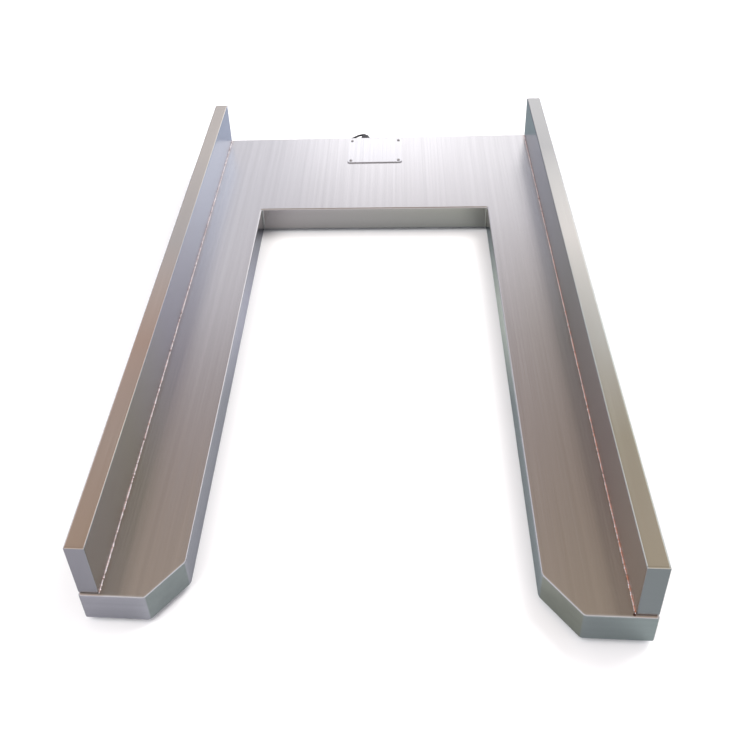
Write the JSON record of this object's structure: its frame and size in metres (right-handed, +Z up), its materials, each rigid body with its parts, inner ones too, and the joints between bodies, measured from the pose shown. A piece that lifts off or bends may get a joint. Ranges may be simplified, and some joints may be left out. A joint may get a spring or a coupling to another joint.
{
  "type": "pallet scale",
  "caption": "Low U-shaped stainless pallet scale with side guards, screw feet, inner load cells and a lift-off junction cover.",
  "frame": {"origin": "centre of the platform's footprint, on the floor", "axes": "+Y from the open front to the closed rear beam, +X to the right seen from the open front, +Z up"},
  "size_m": [0.9, 1.5565, 0.1903],
  "materials": {
    "brushed_stainless": "brushed along the length",
    "plain_steel": "milled",
    "nickel_plated_steel": "satin nickel",
    "zinc_plated_steel": "bright zinc",
    "black_nylon": "matte",
    "black_rubber": "matte",
    "black_cable_jacket": "satin",
    "grey_cable_jacket": "satin",
    "board_laminate": "solder mask",
    "terminal_plastic": "satin"
  },
  "bodies": {
    "platform": {"arm_stiffener_left": "brushed_stainless", "arm_stiffener_right": "brushed_stainless", "bottom_plate": "brushed_stainless", "cell_bolt_inner_front_left": "zinc_plated_steel", "cell_bolt_inner_front_right": "zinc_plated_steel", "cell_bolt_inner_rear_left": "zinc_plated_steel", "cell_bolt_inner_rear_right": "zinc_plated_steel", "cell_bolt_outer_front_left": "zinc_plated_steel", "cell_bolt_outer_front_right": "zinc_plated_steel", "cell_bolt_outer_rear_left": "zinc_plated_steel", "cell_bolt_outer_rear_right": "zinc_plated_steel", "cell_mount_block_front_left": "plain_steel", "cell_mount_block_front_right": "plain_steel", "cell_mount_block_rear_left": "plain_steel", "cell_mount_block_rear_right": "plain_steel", "cell_terminals": "terminal_plastic", "deck_shell": "brushed_stainless", "foot_lock_nut_front_left": "zinc_plated_steel", "foot_lock_nut_front_right": "zinc_plated_steel", "foot_lock_nut_rear_left": "zinc_plated_steel", "foot_lock_nut_rear_right": "zinc_plated_steel", "gland_body": "black_nylon", "gland_lock_nut": "black_nylon", "gland_nut": "black_nylon", "guard_cap_front_left": "brushed_stainless", "guard_cap_front_right": "brushed_stainless", "guard_cap_rear_left": "brushed_stainless", "guard_cap_rear_right": "brushed_stainless", "guard_tube_left": "brushed_stainless", "guard_tube_right": "brushed_stainless", "junction_tray": "brushed_stainless", "load_cell_cable_front_left": "grey_cable_jacket", "load_cell_cable_front_right": "grey_cable_jacket", "load_cell_cable_rear_left": "grey_cable_jacket", "load_cell_cable_rear_right": "grey_cable_jacket", "load_cell_front_left": "nickel_plated_steel", "load_cell_front_right": "nickel_plated_steel", "load_cell_rear_left": "nickel_plated_steel", "load_cell_rear_right": "nickel_plated_steel", "output_terminals": "terminal_plastic", "rear_cross_stiffener": "brushed_stainless", "signal_cable": "black_cable_jacket", "signal_cable_coil": "black_cable_jacket", "signal_cable_tail": "black_cable_jacket", "signal_connector": "nickel_plated_steel", "summing_board": "board_laminate"},
    "junction_lid": {"junction_cover": "brushed_stainless", "cover_gasket": "black_rubber", "cover_screw_front_left": "brushed_stainless", "cover_screw_front_right": "brushed_stainless", "cover_screw_rear_left": "brushed_stainless", "cover_screw_rear_right": "brushed_stainless"},
    "pad_front_left": {"foot_pad_front_left": "black_nylon"},
    "stud_front_left": {"foot_stud_front_left": "zinc_plated_steel"},
    "pad_front_right": {"foot_pad_front_right": "black_nylon"},
    "stud_front_right": {"foot_stud_front_right": "zinc_plated_steel"},
    "pad_rear_left": {"foot_pad_rear_left": "black_nylon"},
    "stud_rear_left": {"foot_stud_rear_left": "zinc_plated_steel"},
    "pad_rear_right": {"foot_pad_rear_right": "black_nylon"},
    "stud_rear_right": {"foot_stud_rear_right": "zinc_plated_steel"}
  },
  "joints": [
    {"name": "cover_lift", "type": "slide", "parent": "platform", "child": "junction_lid", "axis": [0, 0, 1], "range_m": [0, 0.06]},
    {"name": "foot_travel_front_left", "type": "slide", "parent": "platform", "child": "pad_front_left", "axis": [0, 0, -1], "range_m": [-0.002, 0.008]},
    {"name": "foot_turn_front_left", "type": "hinge", "parent": "pad_front_left", "child": "stud_front_left", "pos_m": [-0.375, -0.645, 0.03], "axis": [0, 0, -1], "range_deg": [-412, 1648]},
    {"name": "foot_travel_front_right", "type": "slide", "parent": "platform", "child": "pad_front_right", "axis": [0, 0, -1], "range_m": [-0.002, 0.008]},
    {"name": "foot_turn_front_right", "type": "hinge", "parent": "pad_front_right", "child": "stud_front_right", "pos_m": [0.375, -0.645, 0.03], "axis": [0, 0, -1], "range_deg": [-412, 1648]},
    {"name": "foot_travel_rear_left", "type": "slide", "parent": "platform", "child": "pad_rear_left", "axis": [0, 0, -1], "range_m": [-0.002, 0.008]},
    {"name": "foot_turn_rear_left", "type": "hinge", "parent": "pad_rear_left", "child": "stud_rear_left", "pos_m": [-0.375, 0.645, 0.03], "axis": [0, 0, -1], "range_deg": [-412, 1648]},
    {"name": "foot_travel_rear_right", "type": "slide", "parent": "platform", "child": "pad_rear_right", "axis": [0, 0, -1], "range_m": [-0.002, 0.008]},
    {"name": "foot_turn_rear_right", "type": "hinge", "parent": "pad_rear_right", "child": "stud_rear_right", "pos_m": [0.375, 0.645, 0.03], "axis": [0, 0, -1], "range_deg": [-412, 1648]}
  ],
  "couplings": [
    {"joint": "foot_turn_front_left", "follows": "foot_travel_front_left", "rad_per_m": 3590.4},
    {"joint": "foot_turn_front_right", "follows": "foot_travel_front_right", "rad_per_m": 3590.4},
    {"joint": "foot_turn_rear_left", "follows": "foot_travel_rear_left", "rad_per_m": 3590.4},
    {"joint": "foot_turn_rear_right", "follows": "foot_travel_rear_right", "rad_per_m": 3590.4}
  ]
}
